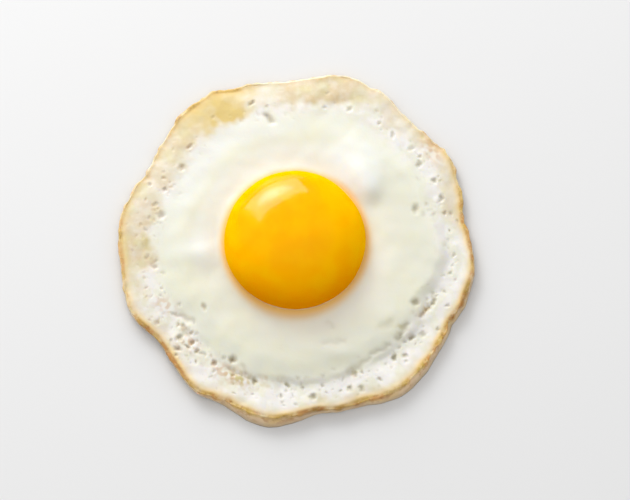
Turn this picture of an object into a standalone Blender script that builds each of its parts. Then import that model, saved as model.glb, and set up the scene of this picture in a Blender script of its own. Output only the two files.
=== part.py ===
"""Fried egg, sunny side up: a domed yolk seated in a lobed egg white with a thick inner mound,
a thin outer skirt and a crisp rim that flares out to the pan on its near side.

The origin is under the middle of the egg, on the surface that it lies on. +Z is up.
Bearings are in degrees, anticlockwise from +X. Sizes are in millimetres until MM turns them to metres.
"""

import math
from functools import partial

import bmesh
import bpy

MM = 0.001

# Yolk: a ball that has settled, wider than it is high.
YOLK_CENTRE = (-0.3, 2.9)
YOLK_RADIUS = 21.1
YOLK_EQUATOR = 6.8  # height of the widest ring
YOLK_TOP = 17.9
YOLK_BOTTOM = 1.6
DOME_FULLNESS = 2.0  # 2 is an ellipse, more is squarer at the shoulders
BELLY_FULLNESS = 2.0
DOME_LATITUDES = (87, 80, 72, 64, 56, 48, 40, 32, 24, 16, 8, 0)  # degrees above the widest ring
BELLY_LATITUDES = (-12, -21, -31, -42, -55, -70, -85)
YOLK_SPOKES = 64

SEAT_GAP = 0.3  # between the yolk and the hollow in the white that it sits in

# Thick white round the yolk: a low mound that ends in a soft step.
MOUND_CENTRE = (1.1, 1.8)
MOUND_RADIUS = 42.6
MOUND_HEIGHT = 4.9
COLLAR_WIDTH = 2.6  # the white climbs from the mound to the yolk over this width
SHOULDER_START = 0.72  # share of the way out where the mound begins to fall
MOUND_SHARES = (0.05, 0.12, 0.24, 0.42, 0.6, 0.72, 0.8, 0.88, 0.94, 1.0)

# Low swellings on the mound: x, y, rise and spread.
SWELLINGS = ((18.4, 28.9, 1.5, 4.6), (22.6, 20.4, 1.5, 4.2), (-28.4, -1.4, 0.8, 3.6))

# Thin white outside the mound, out to the rim.
SKIRT_HEIGHT = 3.2
CREST_HEIGHT = 3.0  # at the sides, where the rim is at its mean reach
CREST_TILT = 0.6  # how much higher it stands at the near side, and lower at the far side
CREST_RISE_PER_BULGE = 0.18  # the rim stands higher where it bulges out
SKIRT_SHARES = (0.2, 0.42, 0.64, 0.84, 0.95, 1.0)

# Bulges and dents of the rim in turn: bearing and distance from the rim's own centre.
RIM_CENTRE = (0.1, 1.59)
RIM_BENDS = (
    (10, 50.8),
    (31, 53.6),
    (46, 51.6),
    (71, 54.7),
    (94, 51.1),
    (122, 53.8),
    (151, 50.5),
    (172, 53.3),
    (186, 52.6),
    (200, 53.2),
    (216, 49.9),
    (235, 52.2),
    (245, 51.5),
    (259, 53.1),
    (278, 50.0),
    (285, 50.8),
    (291, 50.7),
    (306, 52.9),
    (333, 51.4),
    (353, 53.4),
)
RIM_MEAN = sum(reach for _, reach in RIM_BENDS) / len(RIM_BENDS)

# Wall below the rim: it leans out where the edge has flared, and is lifted off the pan elsewhere.
CREST_ROUND = 0.3
WALL_LEAN = 0.1
# Each flare: bearing, extra lean and spread in degrees.
FLARES = ((262, 1.6, 13), (308, 1.7, 17), (338, 0.7, 14))
FOOT_LIFT = 0.8
WALL_SHARES = (0.0, 0.5, 1.0)
BASE_INSET = 4.5  # from the foot back to the flat base
WHITE_SPOKES = 120

# Moves the whole in x and y, so that the origin is under the middle of it, flares included.
CENTRING = (-0.222, -1.0)


def smooth_step(share):
    """0 to 1 with a soft start and end."""
    share = min(1.0, max(0.0, share))
    return share * share * (3 - 2 * share)


def mix(a, b, share):
    return a + (b - a) * share


def turn_between(bearing, other):
    """The angle between two bearings, the short way round."""
    return abs((bearing - other + 180) % 360 - 180)


def rim_reach(bearing):
    """Distance of the rim's crest from its centre: a smooth run through the bulges and dents."""
    ends = (*RIM_BENDS, (RIM_BENDS[0][0] + 360, RIM_BENDS[0][1]))
    if bearing < ends[0][0]:
        bearing += 360
    for (start, near), (end, far) in zip(ends, ends[1:]):
        if start <= bearing <= end:
            share = (bearing - start) / (end - start)
            return mix(near, far, (1 - math.cos(math.pi * share)) / 2)
    return RIM_MEAN


def flare(bearing):
    """How strongly the wall is flared at this bearing, in millimetres of lean."""
    return sum(
        lean * math.exp(-((turn_between(bearing, centre) / spread) ** 2))
        for centre, lean, spread in FLARES
    )


def crest_height(bearing):
    bulge = rim_reach(bearing) - RIM_MEAN
    return CREST_HEIGHT - CREST_TILT * math.sin(math.radians(bearing)) + CREST_RISE_PER_BULGE * bulge


def swelling(x, y):
    return sum(
        rise * math.exp(-((x - at_x) ** 2 + (y - at_y) ** 2) / (2 * spread**2))
        for at_x, at_y, rise, spread in SWELLINGS
    )


def polar(centre, bearing, reach):
    angle = math.radians(bearing)
    return centre[0] + reach * math.cos(angle), centre[1] + reach * math.sin(angle)


def yolk_ring(latitude, clearance=0.0):
    """Radius and height of the yolk's surface at a latitude in degrees, grown by a clearance."""
    angle = math.radians(latitude)
    above = latitude >= 0
    fullness = DOME_FULLNESS if above else BELLY_FULLNESS
    span = (YOLK_TOP - YOLK_EQUATOR if above else YOLK_EQUATOR - YOLK_BOTTOM) + clearance
    radius = (YOLK_RADIUS + clearance) * math.cos(angle) ** (2 / fullness)
    rise = span * abs(math.sin(angle)) ** (2 / fullness)
    return radius, YOLK_EQUATOR + math.copysign(rise, latitude)


def yolk_point(latitude, bearing, clearance=0.0):
    """A point of the yolk's surface, or of the seat round it."""
    radius, height = yolk_ring(latitude, clearance)
    return (*polar(YOLK_CENTRE, bearing, radius), height)


def mound_point(share, bearing):
    """The thick white, from the lip round the yolk (0) to the foot of the mound (1)."""
    lip = yolk_point(BELLY_LATITUDES[0], bearing, SEAT_GAP)
    outer = polar(MOUND_CENTRE, bearing, MOUND_RADIUS)
    x, y = mix(lip[0], outer[0], share), mix(lip[1], outer[1], share)
    from_lip = math.dist(lip[:2], (x, y))
    fall = smooth_step((share - SHOULDER_START) / (1 - SHOULDER_START))
    collar = (lip[2] - MOUND_HEIGHT) * math.exp(-((from_lip / COLLAR_WIDTH) ** 2))
    height = mix(MOUND_HEIGHT, SKIRT_HEIGHT, fall) + collar
    height += swelling(x, y) * smooth_step(from_lip / COLLAR_WIDTH)
    return x, y, height


def skirt_point(share, bearing):
    """The thin white, from the foot of the mound (0) to the rim's crest (1)."""
    inner = polar(MOUND_CENTRE, bearing, MOUND_RADIUS)
    outer = polar(RIM_CENTRE, bearing, rim_reach(bearing))
    x, y = mix(inner[0], outer[0], share), mix(inner[1], outer[1], share)
    return x, y, mix(SKIRT_HEIGHT, crest_height(bearing), share**2) + swelling(x, y)


def wall_point(share, bearing):
    """The browned edge, from just outside the crest (0) down to its foot (1)."""
    lean = WALL_LEAN + flare(bearing)
    lift = FOOT_LIFT * (1 - smooth_step(flare(bearing)))
    reach = rim_reach(bearing) + CREST_ROUND + lean * share
    top = crest_height(bearing) - CREST_ROUND
    return (*polar(RIM_CENTRE, bearing, reach), mix(top, lift, share))


def base_point(bearing):
    """The edge of the flat that the egg lies on."""
    foot = rim_reach(bearing) + CREST_ROUND + WALL_LEAN + flare(bearing)
    return (*polar(RIM_CENTRE, bearing, foot - BASE_INSET), 0.0)


def white_rings():
    """One function of bearing for each ring, from the middle of the seat over the rim to the base."""
    seat = [partial(yolk_point, latitude, clearance=SEAT_GAP) for latitude in BELLY_LATITUDES[::-1]]
    mound = [partial(mound_point, share) for share in MOUND_SHARES]
    skirt = [partial(skirt_point, share) for share in SKIRT_SHARES]
    wall = [partial(wall_point, share) for share in WALL_SHARES]
    return [*seat, *mound, *skirt, *wall, base_point]


def yolk_rings():
    """One function of bearing for each ring, from just off the top pole down to the bottom one."""
    return [partial(yolk_point, latitude) for latitude in DOME_LATITUDES + BELLY_LATITUDES]


def spun_solid(name, rings, spokes, material):
    """Spins a row of points, one for each ring, then moves the rings into place and caps both ends."""
    shape = bmesh.new()
    row = [shape.verts.new((1 + i, 0, 0)) for i in range(len(rings))]
    edges = [shape.edges.new(pair) for pair in zip(row, row[1:])]
    bmesh.ops.spin(
        shape,
        geom=row + edges,
        cent=(0, 0, 0),
        axis=(0, 0, 1),
        angle=math.tau,
        steps=spokes,
        use_merge=True,
    )
    for vertex in shape.verts:
        ring = round(vertex.co.xy.length) - 1
        bearing = math.degrees(math.atan2(vertex.co.y, vertex.co.x)) % 360
        x, y, z = rings[ring](bearing)
        vertex.co = (MM * (x + CENTRING[0]), MM * (y + CENTRING[1]), MM * z)
    bmesh.ops.holes_fill(shape, edges=[edge for edge in shape.edges if edge.is_boundary])
    bmesh.ops.recalc_face_normals(shape, faces=shape.faces)
    mesh = bpy.data.meshes.new(name)
    shape.to_mesh(mesh)
    shape.free()
    mesh.shade_smooth()
    mesh.materials.append(material)
    solid = bpy.data.objects.new(name, mesh)
    bpy.context.scene.collection.objects.link(solid)
    return solid


def food_material(name, colour, roughness):
    material = bpy.data.materials.new(name)
    material.use_nodes = True
    shader = material.node_tree.nodes["Principled BSDF"]
    shader.inputs["Base Color"].default_value = (*colour, 1)
    shader.inputs["Roughness"].default_value = roughness
    shader.inputs["Metallic"].default_value = 0
    return material


def clear_scene():
    for old in list(bpy.data.objects):
        bpy.data.objects.remove(old)


def main():
    clear_scene()
    set_white = food_material("set_white", (0.85, 0.82, 0.70), 0.4)
    soft_yolk = food_material("soft_yolk", (1.0, 0.47, 0.01), 0.25)
    spun_solid("egg_white", white_rings(), WHITE_SPOKES, set_white)
    spun_solid("yolk", yolk_rings(), YOLK_SPOKES, soft_yolk)


main()
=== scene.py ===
import math
import random

import bmesh
import bpy
import numpy as np
from mathutils import Matrix, Vector, noise


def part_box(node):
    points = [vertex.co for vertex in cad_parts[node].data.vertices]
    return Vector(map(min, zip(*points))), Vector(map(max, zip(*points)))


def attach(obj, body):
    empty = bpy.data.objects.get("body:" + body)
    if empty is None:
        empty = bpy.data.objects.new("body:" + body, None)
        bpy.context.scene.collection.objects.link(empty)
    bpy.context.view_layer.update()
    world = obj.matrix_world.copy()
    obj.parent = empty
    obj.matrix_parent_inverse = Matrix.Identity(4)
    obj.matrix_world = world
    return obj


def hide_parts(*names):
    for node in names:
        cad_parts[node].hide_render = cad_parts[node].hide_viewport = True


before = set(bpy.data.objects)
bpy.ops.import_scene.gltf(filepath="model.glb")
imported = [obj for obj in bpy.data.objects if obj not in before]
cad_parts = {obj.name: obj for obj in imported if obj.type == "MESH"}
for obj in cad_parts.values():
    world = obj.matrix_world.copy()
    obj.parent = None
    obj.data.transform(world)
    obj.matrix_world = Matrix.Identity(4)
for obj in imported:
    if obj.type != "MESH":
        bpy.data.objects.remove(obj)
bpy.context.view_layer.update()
mm = 0.001  # sizes below are in millimetres, bearings in degrees anticlockwise from +X
shift = np.array((-0.222, -1.0, 0))  # moves the whole, so that the origin is under its middle
print("egg: packed frame loaded")


def mix(a, b, share):
    return a + (b - a) * share


def smoothStep(share):
    share = np.clip(share, 0, 1)
    return share * share * (3 - 2 * share)


def bump(distance, width):
    return np.exp(-((distance / width) ** 2))


def within(distance, flat, fade):  # 1 as far as flat, then fading out
    return bump(np.maximum(distance - flat, 0), fade)


def turned(x, y, turn):  # how far along a direction, and how far across it
    c, s = math.cos(math.radians(turn)), math.sin(math.radians(turn))
    return x * c + y * s, y * c - x * s


def turnBetween(bearing, other):
    return np.abs((bearing - other + 180) % 360 - 180)


def onSide(bearing, middle, reach, fade):  # 1 about the middle bearing, fading to 0 at its reach
    return smoothStep((reach - turnBetween(bearing, middle)) / fade)


def noiseAt(x, y, width, layer):  # soft noise of about -0.5 to 0.5, with blobs of this width
    return np.array([noise.noise((a, b, layer)) for a, b in zip(x / width, y / width)])


def noises(x, y, layers):  # soft noises over each other, each one (strength, width, layer)
    return sum(strength * noiseAt(x, y, width, layer) for strength, width, layer in layers)


def wander(x, y, strength, width, layer):  # every point moved a little, for uneven outlines
    return x + strength * noiseAt(x, y, width, layer), y + strength * noiseAt(x, y, width, layer + 1)


def placeOnRing(centre, bearing, reach):
    turn = np.radians(bearing)
    return centre[0] + reach * np.cos(turn), centre[1] + reach * np.sin(turn)


def alongRing(stops, bearing):  # a smooth run through (bearing, value) stops, all the way round
    turns, values = np.array((*stops, (stops[0][0] + 360, stops[0][1])), float).T
    bearing = (bearing - turns[0]) % 360 + turns[0]
    leg = np.clip(np.searchsorted(turns, bearing, side="right") - 1, 0, len(turns) - 2)
    share = (bearing - turns[leg]) / (turns[leg + 1] - turns[leg])
    return mix(values[leg], values[leg + 1], (1 - np.cos(np.pi * share)) / 2)


def linear(colour):  # 0-255 screen colour to the shader's own scale
    return tuple(((c / 255 + 0.055) / 1.055) ** 2.4 if c > 10 else c / 255 / 12.92 for c in colour)


def moveVertices(shape, x, y, z):
    for vertex, spot in zip(shape.verts, (np.stack((x, y, z), 1) + shift) * mm):
        vertex.co = spot


def makePiece(shape, name, marks):  # marks are looks by vertex, 0 to 1, that the material reads
    bmesh.ops.recalc_face_normals(shape, faces=shape.faces)
    mesh = bpy.data.meshes.new(name)
    shape.to_mesh(mesh)
    shape.free()
    mesh.shade_smooth()
    for markName, values in marks.items():
        mark = mesh.attributes.new(markName, "FLOAT", "POINT")
        mark.data.foreach_set("value", np.clip(values, 0, 1).astype(np.float32))
    piece = bpy.data.objects.new(name, mesh)
    bpy.context.scene.collection.objects.link(piece)
    print(f"egg: {name} has {sum(len(p.vertices) - 2 for p in mesh.polygons)} triangles")
    return piece


yolkLow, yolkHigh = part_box("yolk")
yolk = {
    "centre": ((yolkLow.x + yolkHigh.x) / 2 / mm - shift[0], (yolkLow.y + yolkHigh.y) / 2 / mm - shift[1]),
    "radius": (yolkHigh.x - yolkLow.x) / 2 / mm,
    "top": yolkHigh.z / mm,
    "bottom": yolkLow.z / mm,
    "equator": 6.8,  # height of the widest ring
    "domeFullness": 2.0,  # 2 is an ellipse, more is squarer at the shoulders
    "bellyFullness": 2.0,
    "segments": 144,
    "rings": 100,
    "lipLatitudes": ((0, -14), (90, -20), (180, -14), (270, -12)),  # where the white meets it, by bearing
    "seatLatitude": -85,  # where the white's hollow starts, just off the lowest point
    "seatClearance": (0.25, -0.12),  # gap under the middle, and how far the lip of the white bites in
    "broadSlack": ((0.30, 13.0, 71),),  # slow swells of the skin: strength, width, noise layer
    "fineSlack": ((0.12, 6.0, 72),),
    "flat": (42, 0.35, 16),  # pressed in beside the largest swelling: bearing, depth, spread
    "rimRise": (14.0, 9.0),  # how far up from the lip its steep side is duller: shaded, lit side
    "rimWaver": ((0.5, 5.0, 73),),
    "litBearing": 130,
    "nearShadeRise": 13.0,  # and how far up the near side is painted a deeper orange: painted shade where the dome faces away from the light, with a little of it all round
    "nearShadeBearing": 278,
}


def yolkRing(latitude, clearance=0.0):
    turn = np.radians(latitude)
    above = latitude >= 0
    fullness = np.where(above, yolk["domeFullness"], yolk["bellyFullness"])
    span = np.where(above, yolk["top"] - yolk["equator"], yolk["equator"] - yolk["bottom"])
    radius = (yolk["radius"] + clearance) * np.abs(np.cos(turn)) ** (2 / fullness)
    rise = (span + clearance) * np.abs(np.sin(turn)) ** (2 / fullness)
    return radius, yolk["equator"] + np.sign(latitude) * rise


white = {
    "rimCentre": (0.1, 1.59),
    "rimBends": (  # bearing, distance of the crest from rimCentre
        (10, 50.8), (31, 53.6), (46, 51.6), (71, 54.7), (94, 51.1), (122, 53.8), (151, 50.5),
        (172, 53.3), (186, 52.6), (200, 53.2), (216, 49.9), (235, 52.2), (245, 51.5), (259, 53.1),
        (278, 50.0), (285, 50.8), (291, 50.7), (306, 52.9), (333, 51.4), (353, 53.4),
    ),
    "nicks": (  # smaller bulges and dents: bearing, how far out, spread
        (5, 0.3, 2.0), (17, 0.4, 3.0), (24, -0.35, 2.5), (38, -0.5, 2.0), (60, 0.5, 2.5), (65, -0.45, 2.0),
        (111, -0.8, 3.5), (118, 0.45, 2.0), (132, 0.3, 2.0), (154, -0.4, 1.5), (158, 0.4, 2.0),
        (213, -0.3, 2.5), (236, 0.6, 5.0), (256, -0.55, 9.0), (298, 0.2, 2.0), (333, -0.2, 2.0),
        (341, 0.6, 2.5),
    ),
    "rimRagged": 0.38,  # small in-and-out of the crisp edge
    "raggedDepth": 1.3,  # and how far in from the edge it fades away
    "raggedOut": ((1.0, 4.2, 11), (0.5, 1.7, 12)),  # its noises: strength, width, layer
    "raggedUp": ((0.8, 5.0, 14), (0.5, 1.9, 15)),
    "crestHeight": 3.1,
    "crestTilt": 0.6,  # it stands higher at the near side, lower at the far side
    "crestRisePerBulge": 0.18,
    "crestWidth": 4.0,  # the thin white runs into the crest over this width
    "crestRound": 0.35,
    "crestPart": 0.3,  # share of the wall's rings that go round the crest
    "crust": ((0.5, 4.5, 31),),
    "wallLean": 0.05,
    "flares": ((260, 2.1, 14), (308, 1.7, 17), (338, 0.7, 14)),  # bearing, extra lean, spread
    "footLift": 0.8,  # where it isn't flared, the foot stands off the pan
    "baseInset": 4.5,
    "underInset": 0.35,
    "blisters": ((0.9, 6.0, 41), (0.5, 2.2, 42)),  # hollows of the fried side
    "blisterStart": 0.15,
    "blisterFade": 2.0,  # none this close to the foot
    "moundCentre": (1.1, 1.8),
    "moundReaches": ((3, 44.0), (25, 42.8), (60, 42.4), (335, 42.4), (349, 44.2)),
    "noiseRing": 40,  # noises that only follow the bearing are read on a ring of this radius
    "footWander": ((1.8, 16, 21), (1.3, 6, 22), (0.15, 2.6, 23)),
    "moundHeights": ((20, 4.8), (60, 4.15), (95, 3.95), (130, 4.15), (180, 4.4), (250, 4.6), (310, 4.7)),
    "shoulders": (  # share of the way out where it begins to fall
        (5, 0.85), (25, 0.8), (70, 0.60), (130, 0.50), (190, 0.60), (250, 0.64), (310, 0.68), (350, 0.84),
    ),
    "collarWidths": ((20, 1.5), (110, 3.0), (200, 2.0), (290, 1.4)),  # the climb up to the yolk
    "yolkTintAndBounceWidths": ((20, 1.4), (100, 1.2), (190, 1.3), (275, 2.3), (330, 1.7)),  # the yolk's colour seen through the thin white at its lip, with painted bounce light from the yolk and painted contact shade, widest on the near side
    "skirtHeight": 3.45,
    "footDips": (  # bearing, depth of the crease where the thick white ends
        (0, 0.15), (40, 0.1), (90, 0.0), (160, 0.0), (200, 0.2), (235, 0.45), (262, 0.8), (285, 0.8),
        (316, 0.78), (338, 0.25),
    ),
    "dipWidths": (1.0, 4.5),  # steep on the thick side, easy on the thin side
    "dipBreaks": ((1.5, 5.5, 24), (0.3, 2.4, 25)),
    "dipDepths": (0.8, 1.3),  # its usual and its greatest share of that depth
    "uneven": ((0.26, 9.0, 51), (0.12, 4.0, 52)),  # of all the white
    "lumps": ((0.24, 3.2, 53),),  # where it is thin
    "grain": ((0.05, 1.4, 54),),
    "calmSide": (155, 75, 30),  # the thin white is smoother here: bearing, reach, fade
    "calmShare": 0.45,
    "thinFrom": (0.74, 0.12),  # share of the way out where it turns thin, and over how much
    "clearOfYolk": 2.5,  # the unevenness starts over this width
    "litSide": (115, 105, 40),  # the side facing the light, where light is painted on: bearing, how far it reaches to each side, and its fade
    "litShift": (1.6, -2.6),  # reads the swellings' sides towards the light, which get painted light
    # painted light on the swellings' sides towards the light
    "litWhiter": 0.7,
    "ringWhiter": (0.55, 5.0, 2.4, 2.6),  # painted light round the yolk on the lit side: strength, distance out from the yolk, half width, fade
    "footWhiter": (0.9, 0.62, 0.1, 132, 40),  # painted light at the mound's far foot, on the lit side: strength, share out, over how much, bearing, spread
    # painted light near the yolk on its shaded side, lifting the yolk's shadow: full as far as this, then
    # fading over that
    "paintedLightInShadeReach": (1.0, 8.0),
    "shadedSide": (306, 93.75, 75),
    "swellings": (  # x, y, rise, spread along, spread across, turn
        (20.2, 24.8, 1.8, 6.4, 4.4, -66),
        (22.2, 19.4, 0.9, 3.6, 2.5, -62),
        (24.8, 15.2, -0.7, 3.0, 1.9, 58),
        (-28.4, -0.6, 0.75, 3.4, 2.8, 0),
        (-27.5, -6.5, -0.2, 3.0, 3.0, 0),
        (11.5, -30.6, 0.3, 5.0, 1.3, -8),
        (27.0, -20.4, 0.3, 4.0, 1.6, 55),
    ),
    "grooveWander": (0.9, 2.2, 57),
    "grooves": (  # x, y at both ends, width, depth: creases and run-together bubbles
        (33.1, -22.2, 30.4, -27.0, 0.75, 0.55), (28.1, -28.5, 22.6, -31.2, 0.8, 0.4),
        (39.8, -16.6, 37.2, -19.6, 0.55, 0.6), (25.2, -23.2, 28.1, -22.0, 1.2, 0.25),
        (22.0, -32.5, 16.0, -36.5, 0.8, 0.35), (-36.0, -19.0, -31.0, -21.0, 0.7, 0.35),
        (-34.0, -23.0, -32.3, -25.4, 0.7, 0.45), (-20.4, -35.6, -12.0, -39.6, 0.8, 0.45),
        (-16.0, -34.6, -13.6, -38.0, 0.6, 0.3), (-7.4, 40.2, -8.9, 42.4, 0.9, 0.8),
        (9.2, -21.6, 11.4, -22.8, 0.9, 0.16), (8.8, -28.0, 14.4, -27.2, 0.9, 0.18),
        (40.6, -12.4, 41.6, -14.2, 0.5, 0.4), (-29.6, -30.4, -27.0, -31.8, 0.5, 0.4),
    ),
}
white["rimMean"] = sum(reach for _, reach in white["rimBends"]) / len(white["rimBends"])


def rimReach(bearing):  # the smooth run of the crest
    nicks = sum(out * bump(turnBetween(bearing, at), spread) for at, out, spread in white["nicks"])
    return alongRing(white["rimBends"], bearing) + nicks


def crestHeight(bearing):
    bulge = rimReach(bearing) - white["rimMean"]
    tilt = white["crestTilt"] * np.sin(np.radians(bearing))
    return white["crestHeight"] - tilt + white["crestRisePerBulge"] * bulge


def ragged(bearing):  # small outward and upward wander of the crisp edge
    x, y = placeOnRing((0, 0), bearing, white["rimMean"])
    out, up = noises(x, y, white["raggedOut"]), noises(x, y, white["raggedUp"])
    return white["rimRagged"] * out, white["rimRagged"] * up


def flare(bearing):
    return sum(lean * bump(turnBetween(bearing, at), spread) for at, lean, spread in white["flares"])


def swelling(x, y):
    rise = np.zeros_like(x)
    for atX, atY, height, spreadX, spreadY, turn in white["swellings"]:
        along, across = turned(x - atX, y - atY, turn)
        rise += height * np.exp(-((along / spreadX) ** 2 + (across / spreadY) ** 2) / 2)
    return rise


def placeSeat(share, bearing):  # the hollow under the yolk, 0 near its middle, 1 at the lip
    latitude = mix(yolk["seatLatitude"], alongRing(yolk["lipLatitudes"], bearing), share)
    radius, height = yolkRing(latitude, mix(*yolk["seatClearance"], share))
    return *placeOnRing(yolk["centre"], bearing, radius), height


def placeFoot(bearing):  # where the thick white ends
    x, y = placeOnRing((0, 0), bearing, white["noiseRing"])
    reach = alongRing(white["moundReaches"], bearing) + noises(x, y, white["footWander"])
    return placeOnRing(white["moundCentre"], bearing, reach)


def footDip(bearing, away, width):  # the crease is deep here and nearly gone there
    x, y = placeOnRing((0, 0), bearing, white["noiseRing"])
    usual, most = white["dipDepths"]
    broken = np.clip(usual + noises(x, y, white["dipBreaks"]), 0, most)
    return alongRing(white["footDips"], bearing) * broken * bump(away, width)


def placeMound(share, bearing):  # thick white, 0 at the lip, 1 at the foot of the mound
    radius, lipHeight = yolkRing(alongRing(yolk["lipLatitudes"], bearing), yolk["seatClearance"][1])
    lipX, lipY = placeOnRing(yolk["centre"], bearing, radius)
    footX, footY = placeFoot(bearing)
    x, y = mix(lipX, footX, share), mix(lipY, footY, share)
    fromLip = np.hypot(x - lipX, y - lipY)
    toFoot = np.hypot(x - footX, y - footY)
    shoulder = alongRing(white["shoulders"], bearing)
    top = alongRing(white["moundHeights"], bearing)
    height = mix(top, white["skirtHeight"], smoothStep((share - shoulder) / (1 - shoulder)))
    height -= footDip(bearing, toFoot, white["dipWidths"][0])
    return x, y, height + (lipHeight - top) * bump(fromLip, alongRing(white["collarWidths"], bearing))


def placeSkirt(share, bearing):  # thin white, 0 at the foot of the mound, 1 at the crest
    footX, footY = placeFoot(bearing)
    reach = rimReach(bearing)
    rimX, rimY = placeOnRing(white["rimCentre"], bearing, reach)
    x, y = mix(footX, rimX, share), mix(footY, rimY, share)
    fromFoot = np.hypot(x - footX, y - footY)
    fromRim = np.hypot(x - rimX, y - rimY)
    out, up = ragged(bearing)
    fade = bump(fromRim, white["raggedDepth"])
    x, y = x + out * fade * np.cos(np.radians(bearing)), y + out * fade * np.sin(np.radians(bearing))
    height = mix(white["skirtHeight"], crestHeight(bearing), bump(fromRim, white["crestWidth"]))
    height -= footDip(bearing, fromFoot, white["dipWidths"][1])
    return x, y, height + up * fade


def placeWall(share, bearing):  # browned edge, 0 at the crest, rounded over, 1 at the foot
    crestPart, spread = white["crestPart"], flare(bearing)
    turn = np.pi / 2 * np.clip(share / crestPart, 0, 1)
    down = np.clip((share - crestPart) / (1 - crestPart), 0, 1)
    lift = white["footLift"] * (1 - smoothStep(spread))
    out, up = ragged(bearing)
    reach = rimReach(bearing) + out * (1 - 0.5 * down)
    reach += white["crestRound"] * np.sin(turn) + (white["wallLean"] + spread) * down
    top = crestHeight(bearing) + up - white["crestRound"] * (1 - np.cos(turn))
    wallX, wallY = placeOnRing((0, 0), bearing, white["rimMean"])
    crust = noises(wallX * 2 + share * 1.5, wallY * 2, white["crust"]) * np.sin(np.pi * share)
    return *placeOnRing(white["rimCentre"], bearing, reach + crust), mix(top, lift, down)


def placeUnder(share, bearing):  # fried side, 0 near the foot, 1 near the middle
    foot = rimReach(bearing) + white["crestRound"] + white["wallLean"] + flare(bearing)
    lift = white["footLift"] * (1 - smoothStep(flare(bearing)))
    reach = foot * (1 - share) - white["underInset"]
    x, y = placeOnRing(white["rimCentre"], bearing, reach)
    tuck = 1 - smoothStep((foot - reach) / white["baseInset"])
    blisters = np.maximum(noises(x, y, white["blisters"]) - white["blisterStart"], 0)
    return x, y, lift * tuck + blisters * smoothStep((foot - reach) / white["blisterFade"])


zones = (  # name, spokes, number of rings, first and last share, how to place a ring
    ("seat", 120, 9, 0.0, 1.0, placeSeat),
    ("mound", 480, 44, 0.03, 0.97, placeMound),
    ("skirt", 960, 40, 0.0, 0.99, placeSkirt),
    ("wall", 960, 13, 0.0, 1.0, placeWall),
    ("under", 240, 36, 0.008, 0.97, placeUnder),
)


def ringSheet():  # rings of a flat sheet, one unit apart, each zone with its own number of spokes
    sheet = bmesh.new()
    firstRing, lastEdges = 1, []
    for _, spokes, count, *_ in zones:
        strip = bmesh.ops.create_grid(sheet, x_segments=spokes, y_segments=count - 1, size=0.5)["verts"]
        for vertex in strip:  # the strip is rolled into a ring, and its two ends are sewn together
            turn, reach = (vertex.co.x + 0.5) * math.tau, firstRing + (vertex.co.y + 0.5) * (count - 1)
            vertex.co = (reach * math.cos(turn), reach * math.sin(turn), 0)
        ends = [v for v in strip if abs(v.co.y) < 0.001 and v.co.x > 0]
        bmesh.ops.remove_doubles(sheet, verts=ends, dist=0.001)
        middle = firstRing + (count - 1) / 2
        loose = [e for e in sheet.edges if e.is_boundary and e.verts[0].co.length > firstRing - 0.5]
        if lastEdges:
            inner = [e for e in loose if e.verts[0].co.length < middle]
            bmesh.ops.bridge_loops(sheet, edges=lastEdges + inner)
        lastEdges = [e for e in loose if e.verts[0].co.length > middle]
        firstRing += count
    return sheet


def groovesIn(x, y):  # depth of the creases, wavering along their way
    depth = np.zeros_like(x)
    wavyX, wavyY = wander(x, y, *white["grooveWander"])
    for startX, startY, endX, endY, width, deep in white["grooves"]:
        runX, runY = endX - startX, endY - startY
        along = ((wavyX - startX) * runX + (wavyY - startY) * runY) / (runX**2 + runY**2)
        along = np.clip(along, 0, 1)
        away = np.hypot(wavyX - startX - along * runX, wavyY - startY - along * runY)
        depth = np.maximum(depth, deep * bump(away, width))
    return depth


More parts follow.
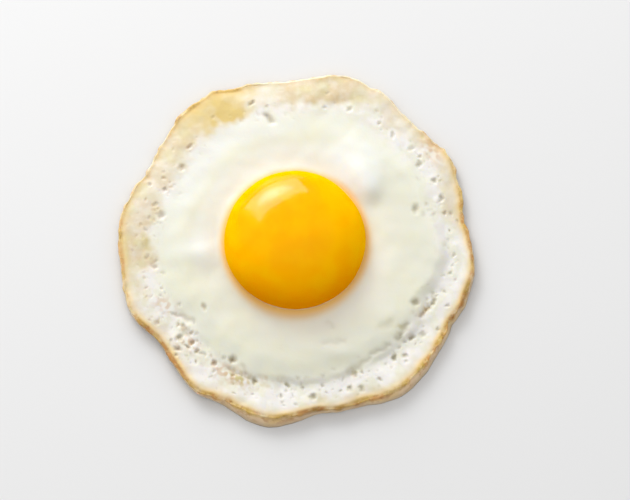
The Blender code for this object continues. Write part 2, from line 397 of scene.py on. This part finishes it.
pitting = {
    "placed": (  # x, y, radius: the largest burst bubbles
        (35.9, 13.0, 1.1), (43.6, 16.5, 1.0), (44.6, 12.0, 0.6), (41.6, 22.0, 0.8), (37.1, 27.0, 0.8),
        (37.1, 29.5, 0.6), (34.9, 32.0, 0.9), (29.1, 36.0, 0.8), (25.1, 39.5, 0.6), (16.1, 44.0, 0.8),
        (46.1, 6.5, 0.5), (44.1, -7.0, 0.6), (44.4, -12.0, 0.5), (35.6, -15.5, 1.2), (41.1, -15.5, 0.9),
        (34.6, -25.8, 0.9), (38.1, -25.0, 0.9), (42.6, -23.5, 0.6), (32.6, -31.5, 0.8), (29.4, -32.0, 0.9),
        (25.1, -38.8, 0.6), (17.6, -37.0, 0.9), (16.1, -41.5, 0.8), (19.6, -41.5, 0.9), (5.1, -44.0, 1.0),
        (0.1, -46.5, 0.6), (-0.9, -43.5, 0.5), (-2.4, -40.5, 0.7), (-2.9, -42.0, 0.5),
        (-12.4, -39.5, 0.8), (-18.9, -32.8, 1.05), (-24.4, -33.8, 0.8), (-24.4, -36.3, 0.5),
        (-29.9, -33.5, 0.5), (-34.9, -26.0, 0.9), (-35.4, -29.5, 0.9), (-37.4, -27.0, 0.6),
        (-35.9, -31.5, 0.5), (-32.4, -29.0, 0.7), (-29.4, -30.0, 0.6), (-30.9, -27.5, 0.6),
        (-27.4, -17.0, 0.9), (-34.9, -16.0, 0.6), (-41.4, -21.5, 0.7), (-42.4, -4.5, 0.9),
        (-44.4, -1.5, 0.8), (-39.9, -6.5, 0.6), (-40.4, 11.3, 1.0), (-42.4, 14.5, 0.8), (-39.4, 19.3, 0.7),
        (-34.4, 26.0, 0.9), (-31.9, 32.5, 0.8), (-13.4, 46.0, 0.8), (-18.9, -37.5, 0.5), (-14.9, -37.0, 0.5),
    ),
    "deepness": (  # bearing, share of their full depth
        (0, 0.75), (40, 0.7), (100, 0.75), (150, 0.85), (180, 0.7), (230, 1.0), (330, 0.95),
    ),
    "steepness": 2.3,  # 2 is a soft hollow, more has steeper walls
    "lipRise": 0.12,  # share of its depth that stands up round it
    "wander": (0.5, 1.2, 55),
    "stretch": (0.75, 1.4),
    "depths": (0.5, 0.95),  # shares of their radius
    "inset": 1.4,  # none this close to the rim
    "deepest": 0.6,  # share of the white's height that they never pass
    "seed": 5,
    "scattered": 700,  # small ones, crowded about the mound's foot
    "smallest": 0.24,
    "largest": 0.62,
    "smallDepths": (0.3, 0.8),
    "inFromRim": (0.15, 0.06),  # usual share of the way in, and its spread
    "between": (0.74, 0.97),
    "crowding": (  # bearing, share of the small ones kept there
        (0, 0.5), (20, 0.6), (45, 0.3), (65, 0.12), (80, 0.5), (105, 0.35), (122, 0.05), (150, 0.6),
        (172, 1.0), (200, 1.0), (225, 1.0), (250, 0.8), (275, 0.5), (300, 0.5), (330, 0.6),
    ),
}


def scatterPits():
    dice = random.Random(pitting["seed"])
    nearest, furthest = pitting["between"]
    pits = [(x, y, size, mix(*pitting["depths"], dice.random()) * size) for x, y, size in pitting["placed"]]
    for _ in range(pitting["scattered"]):
        bearing = dice.uniform(0, 360)
        share = 1 - abs(dice.gauss(*pitting["inFromRim"]))
        size = mix(pitting["smallest"], pitting["largest"], dice.random() ** 3)
        keep = dice.random() < alongRing(pitting["crowding"], np.array([bearing]))[0]
        if keep and nearest < share < furthest:
            reach = share * alongRing(white["rimBends"], np.array([bearing]))[0]
            x, y = placeOnRing(white["rimCentre"], bearing, reach)
            pits.append((x, y, size, mix(*pitting["smallDepths"], dice.random()) * size))
    return [(*pit, dice.uniform(*pitting["stretch"]), dice.uniform(0, 180)) for pit in pits]


def pitsIn(x, y):  # depth of burst bubbles: uneven hollows with a faint raised lip
    depth, lip = np.zeros_like(x), np.zeros_like(x)
    wavyX, wavyY = wander(x, y, *pitting["wander"])
    for atX, atY, radius, deep, stretch, turn in scatterPits():
        near = np.nonzero((np.abs(x - atX) < 4 * radius) & (np.abs(y - atY) < 4 * radius))[0]
        along, across = turned(wavyX[near] - atX, wavyY[near] - atY, turn)
        away = np.hypot(along / stretch, across * stretch) / radius
        depth[near] = np.maximum(depth[near], deep * np.exp(-(away ** pitting["steepness"])))
        lip[near] = np.maximum(lip[near], pitting["lipRise"] * deep * bump(away - 1.5, 0.5))
    return depth, lip


tan = {  # where the thin white has turned: bearing, then depth in from the rim, or strength
    "blotches": ((1.0, 5.0, 61), (0.5, 2.0, 62)),
    "blotchReach": 2.6,
    "fade": (5.5, 0.45),  # over how many millimetres it ends, and how much is left at its depth
    "brownBelow": (0.3, 0.7),  # below the crest: full as far as this, then fading over that
    "brownInward": (0.3, 0.55),  # and in from the rim
    "goldInward": (0.6, 1.3),
    "darkEdgeBelow": (0.5, 1.0),
    "darkEdgeInward": (0.4, 0.6),
    "patchWidth": 4.0,  # of the uneven browning along the edge
    "linePatches": 0.7,
    "darkEdgePatches": 0.8,
    "yellowEdge": (128, 50, 30),  # bearing, reach and fade; past it the edge is a warmer brown
    "beigeDepth": (
        (0, 1.5), (18, 7.0), (32, 5.0), (42, 4.0), (60, 6.5), (80, 8.6), (100, 7.0), (140, 8.4),
        (160, 9.2), (182, 9.4), (200, 5.0), (220, 3.6), (260, 1.6), (285, 2.8), (312, 2.6), (330, 1.5),
    ),
    "beige": (
        (0, 0.2), (18, 0.6), (32, 0.5), (45, 0.5), (60, 0.5), (76, 1.0), (90, 0.9), (102, 0.45),
        (135, 0.7), (150, 0.65), (162, 0.72), (180, 1.0), (196, 0.45), (212, 0.45),
        (235, 0.5), (260, 0.2), (285, 0.6), (312, 0.45), (330, 0.3),
    ),
    "goldDepth": ((102, 2.0), (111, 8.6), (120, 11.4), (129, 10.4), (138, 6.0), (150, 2.0)),
    "gold": (
        (50, 0.0), (101, 0.0), (109, 0.65), (117, 1.0), (125, 0.8), (132, 0.4), (141, 0.12), (152, 0.0),
    ),
    "rimLine": (  # how brown the very edge is
        (0, 0.8), (12, 0.95), (26, 0.65), (38, 0.3), (58, 0.12), (74, 0.15), (96, 0.05), (106, 0.2),
        (112, 0.8), (118, 0.6), (125, 0.95), (132, 0.65), (140, 0.25), (160, 0.35), (174, 0.6), (192, 0.65),
        (200, 0.6), (212, 1.0),
        (246, 1.0), (262, 0.8), (280, 0.9), (305, 0.8), (325, 0.9), (340, 1.0), (352, 0.8),
    ),
    "darkEdge": (  # where the edge is darkest, most of all along the near side
        (0, 0.3), (10, 0.1), (60, 0.0), (100, 0.0), (112, 0.2), (128, 0.22), (140, 0.1), (150, 0.08),
        (172, 0.12), (190, 0.18), (200, 0.1), (213, 0.6), (222, 0.4), (240, 0.45),
        (252, 0.15), (266, 0.4), (278, 1.0), (286, 0.8), (296, 0.25), (315, 0.05), (329, 0.1), (336, 0.7),
        (344, 0.5), (351, 0.2), (357, 0.5),
    ),
    # how dark the hollows and creases are painted, by bearing: partly painted shade, partly their own
    # browned colour
    "pitStrength": (
        (20, 0.65), (60, 0.6), (100, 0.7), (150, 0.45), (185, 0.6), (215, 0.75), (250, 0.7), (300, 0.75),
        (350, 0.65),
    ),
    "pitWarmth": (
        (0, 0.35), (40, 0.15), (100, 0.3), (150, 0.6), (188, 0.85), (210, 0.6), (228, 0.35), (265, 0.15),
        (320, 0.15),
    ),
    "stains": (  # x, y, spread along, spread across, turn, strength
        (-39.4, -16.2, 3.6, 2.2, -20, 0.8), (-31.6, -27.8, 3.0, 2.0, -40, 1.0),
        (-35.6, -28.6, 1.0, 0.8, 0, 0.9), (-34.0, -23.4, 1.8, 1.0, -50, 0.6),
        (-20.0, -37.2, 6.0, 2.6, -28, 0.95), (38.4, -18.0, 2.4, 0.7, 50, 0.9),
        (-32.0, 32.2, 0.9, 0.8, 0, 1.0), (-42.6, -1.6, 1.2, 2.2, 0, 0.6), (17.4, -37.4, 1.2, 0.9, 0, 0.6),
        (-42.4, 14.2, 1.2, 1.6, 0, 0.5), (40.8, 31.6, 3.8, 2.4, -50, 1.0), (-8.0, -38.6, 5.0, 1.0, -8, 0.5),
    ),
    "oliveSpots": (  # greener ones, in the same order
        (-17.0, -38.6, 5.2, 2.2, -22, 1.0), (-10.0, -40.4, 3.0, 0.8, -12, 0.6),
        (17.2, -36.2, 1.4, 0.8, 20, 0.7), (31.0, -23.2, 2.4, 1.3, 50, 0.5),
        (38.6, -17.4, 2.4, 1.5, 50, 0.5), (38.0, 35.8, 1.6, 1.0, -50, 0.6),
    ),
}


def tanWeight(kind, bearing, fromRim, blotch):
    fade, left = tan["fade"]
    depth = alongRing(tan[kind + "Depth"], bearing) + tan["blotchReach"] * blotch
    return alongRing(tan[kind], bearing) * smoothStep((depth - fromRim) / fade + left)


def spotWeight(kind, x, y):
    weight = np.zeros_like(x)
    for atX, atY, spreadX, spreadY, turn, strength in tan[kind]:
        along, across = turned(x - atX, y - atY, turn)
        weight = np.maximum(weight, strength * bump(np.hypot(along / spreadX, across / spreadY), 1))
    return weight


def edgeMarks(rimBearing, fromRim, drop, patchy):  # how browned the crisp edge is
    line = alongRing(tan["rimLine"], rimBearing) * (1 + tan["linePatches"] * patchy)
    darkEdge = alongRing(tan["darkEdge"], rimBearing) * (1 + tan["darkEdgePatches"] * patchy)
    return {
        "edgeBrown": line * within(drop, *tan["brownBelow"]) * within(fromRim, *tan["brownInward"]),
        "edgeGold": (0.08 + 0.9 * line) * within(fromRim, *tan["goldInward"]),
        "edgeWarm": 1 - onSide(rimBearing, *tan["yellowEdge"]),
        "darkEdge": darkEdge * within(drop, *tan["darkEdgeBelow"]) * within(fromRim, *tan["darkEdgeInward"]),
    }


def paintedLightMark(x, y, lip, share, rimBearing):  # painted light: lighter on the swellings' sides towards the light, round the yolk on the lit side, and at the mound's far foot
    litRise = swelling(x + white["litShift"][0], y + white["litShift"][1])
    strength, out, half, fade = white["ringWhiter"]
    paintedLight = white["litWhiter"] * np.clip(litRise, 0, 1)
    paintedLight += strength * within(np.abs(lip - out), half, fade) * onSide(rimBearing, *white["litSide"])
    strength, out, over, at, spread = white["footWhiter"]
    return paintedLight + strength * smoothStep((share - out) / over) * bump(turnBetween(rimBearing, at), spread)


def buildWhite():
    sheet = ringSheet()
    spots = np.array([v.co for v in sheet.verts])
    ring = np.rint(np.hypot(spots[:, 0], spots[:, 1])).astype(int) - 1
    bearing = np.degrees(np.arctan2(spots[:, 1], spots[:, 0])) % 360
    place = np.zeros((len(spots), 3))
    zoneOf = np.zeros(len(spots), "U8")
    firstRing = 0
    for zone, _, count, firstShare, lastShare, placer in zones:
        mine = (ring >= firstRing) & (ring < firstRing + count)
        share = mix(firstShare, lastShare, (ring[mine] - firstRing) / (count - 1))
        place[mine] = np.array(placer(share, bearing[mine])).T
        zoneOf[mine] = zone
        firstRing += count
    x, y, z = place.T
    top = (zoneOf == "mound") | (zoneOf == "skirt")
    wall, under = zoneOf == "wall", zoneOf == "under"
    rimX, rimY = x - white["rimCentre"][0], y - white["rimCentre"][1]
    rimBearing = np.degrees(np.arctan2(rimY, rimX)) % 360
    reach = np.hypot(rimX, rimY)
    rim = rimReach(rimBearing)
    share = reach / rim
    fromRim = rim - reach

    # soft unevenness of the mound, finer lumps where the white is thin
    thinStart, thinOver = white["thinFrom"]
    thin = smoothStep((share - thinStart) / thinOver) * top
    lip = np.hypot(x - yolk["centre"][0], y - yolk["centre"][1]) - yolk["radius"]
    clear = smoothStep(lip / white["clearOfYolk"]) * top
    z += clear * (swelling(x, y) + noises(x, y, white["uneven"]))
    lumpy = 1 - white["calmShare"] * onSide(rimBearing, *white["calmSide"])
    z += thin * (lumpy * noises(x, y, white["lumps"]) + noises(x, y, white["grain"]))
    edge = smoothStep(fromRim / pitting["inset"])
    deepness = alongRing(pitting["deepness"], rimBearing)
    depth, lipRise = (values * deepness for values in pitsIn(x, y))
    creases = groovesIn(x, y)
    z += top * edge * (lipRise - np.minimum(depth + creases, pitting["deepest"] * z))
    moveVertices(sheet, x, y, z)
    bmesh.ops.holes_fill(sheet, edges=[e for e in sheet.edges if e.is_boundary])

    blotch = noises(x, y, tan["blotches"])
    patchy = noiseAt(x, y, tan["patchWidth"], 63)
    drop = np.maximum(crestHeight(rimBearing) - z, 0) * wall
    goldEdge = tanWeight("gold", rimBearing, fromRim, blotch) * (0.9 + 0.015 * fromRim + 0.5 * blotch)
    pitStrength = alongRing(tan["pitStrength"], rimBearing)
    olive = spotWeight("oliveSpots", x, y) * smoothStep(0.5 + 2.0 * noiseAt(x, y, 1.3, 65))
    marks = {
        **edgeMarks(rimBearing, fromRim, drop, patchy),
        "gold": goldEdge * top,
        "olive": olive * top,
        "beige": tanWeight("beige", rimBearing, fromRim, blotch) * (0.95 + 0.35 * blotch) * top,
        "stain": spotWeight("stains", x, y) * smoothStep(0.45 + 2.2 * noiseAt(x, y, 1.4, 64)) * top,
        "wall": wall * smoothStep(-fromRim / 0.5),
        # painted shade: the wall darker and greyer towards its foot
        "foot": wall * smoothStep((white["crestHeight"] - z) / white["crestHeight"]),
        "under": under.astype(float),
        "crisp": under * (0.2 + 0.8 * bump(fromRim, 13)),
        # darker the deeper the hollows and creases: painted shade in them, mixed with their own browned
        # colour
        "pit": np.clip((depth + 0.7 * creases) / 0.8, 0, 1) * pitStrength * top,
        "pitWarm": alongRing(tan["pitWarmth"], rimBearing) * (1 + 1.2 * patchy) * top,
        "thin": thin,
        # painted light where the white faces the light
        "paintedLight": paintedLightMark(x, y, lip, share, rimBearing) * clear,
        # the yolk's colour through the white at its lip, with painted bounce light and painted contact shade
        "yolkTintAndBounce": within(lip, 0.2, alongRing(white["yolkTintAndBounceWidths"], rimBearing)) * top,
        # painted light lifting the yolk's shadow on its shaded side
        "paintedLightInShade": within(lip, *white["paintedLightInShadeReach"]) * onSide(rimBearing, *white["shadedSide"]) * top,
    }
    return makePiece(sheet, "eggWhite", marks)


def buildYolk():
    ball = bmesh.new()
    bmesh.ops.create_uvsphere(ball, u_segments=yolk["segments"], v_segments=yolk["rings"], radius=1)
    unit = np.array([v.co for v in ball.verts])
    latitude = np.degrees(np.arcsin(np.clip(unit[:, 2], -1, 1)))
    bearing = np.degrees(np.arctan2(unit[:, 1], unit[:, 0]))
    radius, z = yolkRing(latitude)
    x, y = placeOnRing(yolk["centre"], bearing, radius)
    # the skin is not a perfect dome: slack swells, and a flat beside the largest swelling of the white
    slack = noises(x, y, yolk["broadSlack"]) + noises(x, y + z, yolk["fineSlack"])
    flatBearing, flatDepth, flatSpread = yolk["flat"]
    pressed = flatDepth * bump(turnBetween(bearing % 360, flatBearing), flatSpread)
    inward = slack - pressed * np.cos(np.radians(latitude)) ** 2
    x += inward * unit[:, 0]
    y += inward * unit[:, 1]
    z += slack * np.maximum(unit[:, 2], 0)
    moveVertices(ball, x, y, z)
    lipHeight = yolkRing(alongRing(yolk["lipLatitudes"], bearing))[1]
    upLip = z - lipHeight - noises(x, y, yolk["rimWaver"])
    lit = smoothStep(np.cos(np.radians(bearing - yolk["litBearing"])))
    # painted shade: the near side's lower dome a deeper orange, a little of it all round
    near = 0.1 + 0.9 * smoothStep(0.1 + 0.9 * np.cos(np.radians(bearing - yolk["nearShadeBearing"])))
    marks = {
        "rim": 1 - smoothStep(upLip / mix(*yolk["rimRise"], lit)),
        "deep": (1 - smoothStep(upLip / yolk["nearShadeRise"])) * near,
    }
    return makePiece(ball, "yolkDome", marks)


class Nodes:  # short hand for wiring a material
    def __init__(self, name):
        self.material = bpy.data.materials.new(name)
        self.material.use_nodes = True
        self.tree = self.material.node_tree
        self.shader = self.tree.nodes["Principled BSDF"]
        self.spot = self.tree.nodes.new("ShaderNodeTexCoord").outputs["Object"]

    def link(self, fromSocket, toSocket):
        self.tree.links.new(fromSocket, toSocket)

    def mark(self, name):
        node = self.tree.nodes.new("ShaderNodeAttribute")
        node.attribute_name = name
        return node.outputs["Fac"]

    def noise(self, width, detail=2.0, rough=0.5, distortion=0.0):
        node = self.tree.nodes.new("ShaderNodeTexNoise")
        node.inputs["Scale"].default_value = 1 / (width * mm)
        node.inputs["Detail"].default_value = detail
        node.inputs["Roughness"].default_value = rough
        node.inputs["Distortion"].default_value = distortion
        self.link(self.spot, node.inputs["Vector"])
        return node.outputs["Fac"]

    def span(self, value, low, high, toLow=0.0, toHigh=1.0):
        node = self.tree.nodes.new("ShaderNodeMapRange")
        node.interpolation_type = "SMOOTHSTEP"
        for socket, number in zip(node.inputs[1:5], (low, high, toLow, toHigh)):
            socket.default_value = number
        self.link(value, node.inputs["Value"])
        return node.outputs["Result"]

    def maths(self, kind, a, b):
        node = self.tree.nodes.new("ShaderNodeMath")
        node.operation = kind
        node.use_clamp = kind in ("MULTIPLY", "ADD")
        for socket, value in zip(node.inputs, (a, b)):
            if isinstance(value, (int, float)):
                socket.default_value = value
            else:
                self.link(value, socket)
        return node.outputs[0]

    def tint(self, factor, base, colour, blend="MIX"):
        node = self.tree.nodes.new("ShaderNodeMix")
        node.data_type = "RGBA"
        node.blend_type = blend
        self.link(factor, node.inputs["Factor"])
        for socket, value in zip((node.inputs["A"], node.inputs["B"]), (base, colour)):
            if isinstance(value, tuple):
                socket.default_value = (*linear(value), 1)
            else:
                self.link(value, socket)
        return node.outputs["Result"]

    def relief(self, layers, distance):  # layers are (height socket, strength)
        normal = None
        for height, strength in layers:
            node = self.tree.nodes.new("ShaderNodeBump")
            node.inputs["Strength"].default_value = strength
            node.inputs["Distance"].default_value = distance * mm
            self.link(height, node.inputs["Height"])
            if normal is not None:
                self.link(normal, node.inputs["Normal"])
            normal = node.outputs["Normal"]
        self.link(normal, self.shader.inputs["Normal"])

    def fixed(self, **values):
        for name, value in values.items():
            self.shader.inputs[name.replace("_", " ")].default_value = value


whiteFinish = {  # screen colours, 0 to 255
    "roughness": (0.36, 0.5),  # thick white, thin white
    "glowReach": 1.8,  # how far light wanders inside it
    "milk": (228, 228, 213),
    "cream": (229, 228, 208),
    "thin": (236, 233, 231),
    "thinCream": (231, 229, 216),
    # painted light on the sides facing the light
    "paintedLight": (232, 233, 229),
    "beige": (217, 199, 164),
    "beigeYellow": (213, 200, 154),
    "gold": (222, 199, 132),
    "olive": (204, 194, 142),
    "stain": (206, 172, 134),
    "edge": (206, 174, 92),
    "edgeWarm": (206, 154, 88),
    "edgeDark": (152, 104, 52),
    "darkEdge": (128, 84, 42),
    "edgeGold": (236, 207, 138),
    "wall": (234, 208, 172),
    "wallGold": (230, 200, 140),
    "wallDark": (204, 162, 116),
    "wallFootShade": (206, 180, 146),
    "underCream": (242, 230, 202),
    "underGold": (226, 188, 126),
    "underBrown": (172, 116, 64),
    # hollows and creases: painted shade, warmed where they browned in frying
    # painted shade at the wall's foot
    "pit": (162, 156, 112),
    "pitWarm": (184, 136, 98),
    # the yolk's colour through the white, with painted bounce light and contact shade
    "yolkTintAndBounce": (248, 194, 90),
    # painted light in the yolk's shadow
    "paintedLightInShade": (250, 247, 234),
}


def whiteMaterial():
    f = whiteFinish
    n = Nodes("setEggWhite")
    soft, fine = n.noise(7.0, 3), n.noise(0.9, 3, 0.6)
    colour = n.tint(n.span(soft, 0.35, 0.65), f["milk"], f["cream"])
    # painted light on the sides that face the light
    colour = n.tint(n.maths("MULTIPLY", n.mark("paintedLight"), 0.9), colour, f["paintedLight"])
    thin = n.tint(n.span(n.noise(4.0, 3), 0.45, 0.6), f["thin"], f["thinCream"])
    colour = n.tint(n.maths("MULTIPLY", n.mark("thin"), 0.8), colour, thin)
    beige = n.tint(n.span(n.noise(6.0, 2), 0.4, 0.6), f["beige"], f["beigeYellow"])
    mottle = n.span(n.noise(2.4, 4, 0.6), 0.35, 0.6, 0.78, 1.0)
    colour = n.tint(n.maths("MULTIPLY", n.mark("beige"), mottle), colour, beige)
    colour = n.tint(n.mark("gold"), colour, f["gold"])
    colour = n.tint(n.mark("olive"), colour, f["olive"])
    colour = n.tint(n.maths("MULTIPLY", n.mark("stain"), 0.7), colour, f["stain"])
    colour = n.tint(n.maths("MULTIPLY", n.mark("edgeGold"), 0.85), colour, f["edgeGold"])
    # painted light lifting the yolk's shadow on its shaded side
    colour = n.tint(n.mark("paintedLightInShade"), colour, f["paintedLightInShade"])
    # the yolk's colour through the white at its lip, with painted bounce light and painted contact shade
    colour = n.tint(n.maths("MULTIPLY", n.mark("yolkTintAndBounce"), 0.9), colour, f["yolkTintAndBounce"])
    # painted shade in the hollows and creases, warmed where they browned
    pitColour = n.tint(n.mark("pitWarm"), f["pit"], f["pitWarm"])
    colour = n.tint(n.mark("pit"), colour, pitColour)
    wallColour = n.tint(n.span(n.noise(9.0, 2), 0.45, 0.58), f["wall"], f["wallGold"])
    wallColour = n.tint(n.span(n.noise(2.6, 4, 0.6), 0.46, 0.64), wallColour, f["wallDark"])
    # painted shade: the wall darker and greyer towards its foot
    wallColour = n.tint(n.mark("foot"), wallColour, f["wallFootShade"])
    colour = n.tint(n.mark("wall"), colour, wallColour)
    underColour = n.tint(n.span(n.noise(12.0, 4, 0.6), 0.38, 0.62), f["underCream"], f["underGold"])
    crisp = n.maths("MULTIPLY", n.mark("crisp"), n.span(n.noise(3.4, 5, 0.65), 0.42, 0.72))
    underColour = n.tint(crisp, underColour, f["underBrown"])
    underColour = n.tint(n.span(n.noise(1.2, 4, 0.6), 0.56, 0.74, 0.0, 0.3), underColour, f["underBrown"])
    colour = n.tint(n.mark("under"), colour, underColour)
    warm = n.maths("MULTIPLY", n.mark("edgeWarm"), n.span(n.noise(4.5, 2), 0.45, 0.6))
    edgeColour = n.tint(warm, f["edge"], f["edgeWarm"])
    edgeColour = n.tint(n.span(n.noise(1.3, 3, 0.6), 0.5, 0.7, 0.0, 0.75), edgeColour, f["edgeDark"])
    rough = n.span(n.noise(1.6, 4, 0.65), 0.36, 0.56, 0.4, 1.0)
    colour = n.tint(n.maths("MULTIPLY", n.mark("edgeBrown"), rough), colour, edgeColour)
    colour = n.tint(n.maths("MULTIPLY", n.mark("darkEdge"), 0.6), colour, f["darkEdge"])
    n.link(colour, n.shader.inputs["Base Color"])
    n.link(n.span(n.mark("thin"), 0, 1, *f["roughness"]), n.shader.inputs["Roughness"])
    n.relief([(fine, 0.12), (n.noise(0.35, 2), 0.06)], 0.2)
    n.fixed(IOR=1.38, Subsurface_Weight=0.6)
    n.fixed(Subsurface_Radius=(1.0, 0.85, 0.6), Subsurface_Scale=f["glowReach"] * mm)
    return n.material


yolkFinish = {
    "roughness": (0.09, 0.14),
    "glowReach": 3,
    "golden": (255, 186, 3),
    "rich": (254, 176, 1),
    # painted shade on the near side of the dome
    "deep": (222, 134, 0),
}


def yolkMaterial():
    f = yolkFinish
    n = Nodes("softYolk")
    colour = n.tint(n.span(n.noise(8.0, 2), 0.35, 0.65), f["golden"], f["rich"])
    # painted shade: deeper orange low on the near side
    colour = n.tint(n.span(n.mark("deep"), 0.1, 0.9, 0.0, 0.95), colour, f["deep"])
    n.link(colour, n.shader.inputs["Base Color"])
    n.link(n.span(n.noise(3.0, 3), 0.3, 0.7, *f["roughness"]), n.shader.inputs["Roughness"])
    n.link(n.span(n.mark("rim"), 0.05, 0.21, 0.42, 0.0), n.shader.inputs["Specular IOR Level"])
    n.relief([(n.noise(2.4, 2), 0.03)], 0.2)
    n.fixed(IOR=1.5, Specular_Tint=(1, 0.8, 1, 1))
    n.fixed(Subsurface_Weight=0.4)
    n.fixed(Subsurface_Radius=(1.0, 0.35, 0.05), Subsurface_Scale=f["glowReach"] * mm)
    return n.material


studio = {
    "floorColour": (226, 226, 226),
    "floorReach": 3000,  # to each side
    "aim": (5.48, -0.3, 3.2),
    "elevation": 78,
    "lens": 400,
    "distance": 2100,
    "skyStrength": 0.73,
    "keyBearing": 109.5,
    "keyElevation": 27,
    "keyRoll": 14,
    "keyDistance": 900,
    "keySize": (916, 655),
    "keyPower": 9.1,
    "hotSpot": (0.58, 0.55),  # brightest place across and up the softbox
    "hotReach": 0.38,
    "hotStrengths": (2.6, 0.62),  # at that place, and from hotReach on
}


def towards(bearing, elevation):
    b, e = math.radians(bearing), math.radians(elevation)
    return Vector((math.cos(e) * math.cos(b), math.cos(e) * math.sin(b), math.sin(e)))


def lookAt(piece, target, roll=0):
    facing = (target - piece.location).to_track_quat("-Z", "Y").to_matrix()
    piece.rotation_euler = (facing @ Matrix.Rotation(math.radians(roll), 3, "Z")).to_euler()


def buildStage():
    sheet = bmesh.new()
    bmesh.ops.create_grid(sheet, x_segments=4, y_segments=4, size=studio["floorReach"] * mm)
    mesh = bpy.data.meshes.new("floor")
    sheet.to_mesh(mesh)
    sheet.free()
    floor = bpy.data.objects.new("floor", mesh)
    bpy.context.scene.collection.objects.link(floor)
    n = Nodes("paleFloor")
    n.shader.inputs["Base Color"].default_value = (*linear(studio["floorColour"]), 1)
    n.fixed(Roughness=0.9, Specular_IOR_Level=0.1)
    mesh.materials.append(n.material)


def buildLight():
    world = bpy.data.worlds.new("softSky")
    bpy.context.scene.world = world
    world.use_nodes = True
    world.node_tree.nodes["Background"].inputs["Color"].default_value = (1, 1, 1, 1)
    world.node_tree.nodes["Background"].inputs["Strength"].default_value = studio["skyStrength"]
    world.cycles_visibility.glossy = False
    lamp = bpy.data.lights.new("keySoftbox", "AREA")
    lamp.shape = "RECTANGLE"
    lamp.size, lamp.size_y = (side * mm for side in studio["keySize"])
    lamp.energy = studio["keyPower"]
    lamp.use_nodes = True
    tree = lamp.node_tree
    across = tree.nodes.new("ShaderNodeNewGeometry")
    offset = tree.nodes.new("ShaderNodeVectorMath")
    offset.operation = "DISTANCE"
    offset.inputs[1].default_value = (*studio["hotSpot"], 0)
    fade = tree.nodes.new("ShaderNodeMapRange")
    fade.interpolation_type = "SMOOTHSTEP"
    fade.inputs["From Max"].default_value = studio["hotReach"]
    fade.inputs["To Min"].default_value, fade.inputs["To Max"].default_value = studio["hotStrengths"]
    tree.links.new(across.outputs["Parametric"], offset.inputs[0])
    tree.links.new(offset.outputs["Value"], fade.inputs["Value"])
    tree.links.new(fade.outputs["Result"], tree.nodes["Emission"].inputs["Strength"])
    key = bpy.data.objects.new("keySoftbox", lamp)
    key.location = towards(studio["keyBearing"], studio["keyElevation"]) * studio["keyDistance"] * mm
    lookAt(key, Vector((0, 0, 0)), studio["keyRoll"])
    bpy.context.scene.collection.objects.link(key)


def buildCamera():
    camera = bpy.data.objects.new("camera", bpy.data.cameras.new("camera"))
    target = Vector(studio["aim"]) * mm
    camera.data.lens = studio["lens"]
    camera.data.clip_start = 0.01
    camera.location = target + towards(-90, studio["elevation"]) * studio["distance"] * mm
    lookAt(camera, target)
    bpy.context.scene.collection.objects.link(camera)
    bpy.context.scene.camera = camera


bpy.context.scene.view_settings.view_transform = "Standard"
buildStage()
buildLight()
buildCamera()
print("egg: stage, light and camera set")

eggWhite = buildWhite()
eggWhite.data.materials.append(whiteMaterial())
yolkDome = buildYolk()
yolkDome.data.materials.append(yolkMaterial())
for piece, node, slotName in ((eggWhite, "egg_white", "set_white"), (yolkDome, "yolk", "soft_yolk")):
    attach(piece, "root")
    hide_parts(node)

print("egg: pieces ride on the frame")
